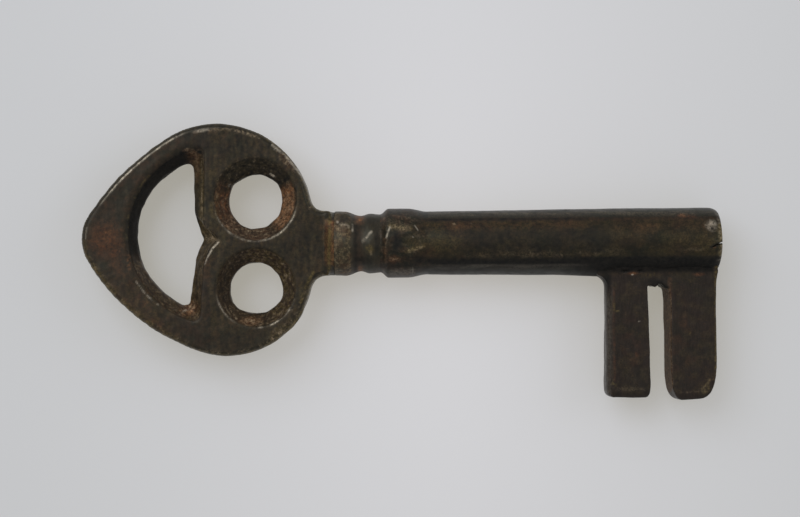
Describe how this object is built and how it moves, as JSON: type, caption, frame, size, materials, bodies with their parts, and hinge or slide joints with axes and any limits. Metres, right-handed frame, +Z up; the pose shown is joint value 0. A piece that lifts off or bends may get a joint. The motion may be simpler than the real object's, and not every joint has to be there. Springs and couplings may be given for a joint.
{
  "type": "pipe key",
  "caption": "Old bronze pipe key lying flat: pierced heart-shaped bow, turned neck, hollow round shank and a two-pronged bit.",
  "frame": {"origin": "middle of the footprint, on the surface the key lies on", "axes": "+X along the shank from the bow to the mouth, -Y toward the bit's prongs, +Z up through the bow's thickness"},
  "size_m": [0.0824, 0.036, 0.0089],
  "materials": {
    "bow_bronze": "dark olive-brown patina over cast bronze, worn bright on the edges",
    "neck_bronze": "rubbed tan-brown patina, darker in the grooves",
    "collar_bronze": "dark brown patina with worn tan facets",
    "shank_bronze": "smooth dark brown patina, semi-gloss from handling",
    "bit_bronze": "flat filed faces, dark brown patina"
  },
  "bodies": {
    "root": {"bow": "bow_bronze", "neck_ring": "neck_bronze", "neck_bead": "neck_bronze", "collar": "collar_bronze", "shank": "shank_bronze", "bit": "bit_bronze"}
  },
  "joints": []
}
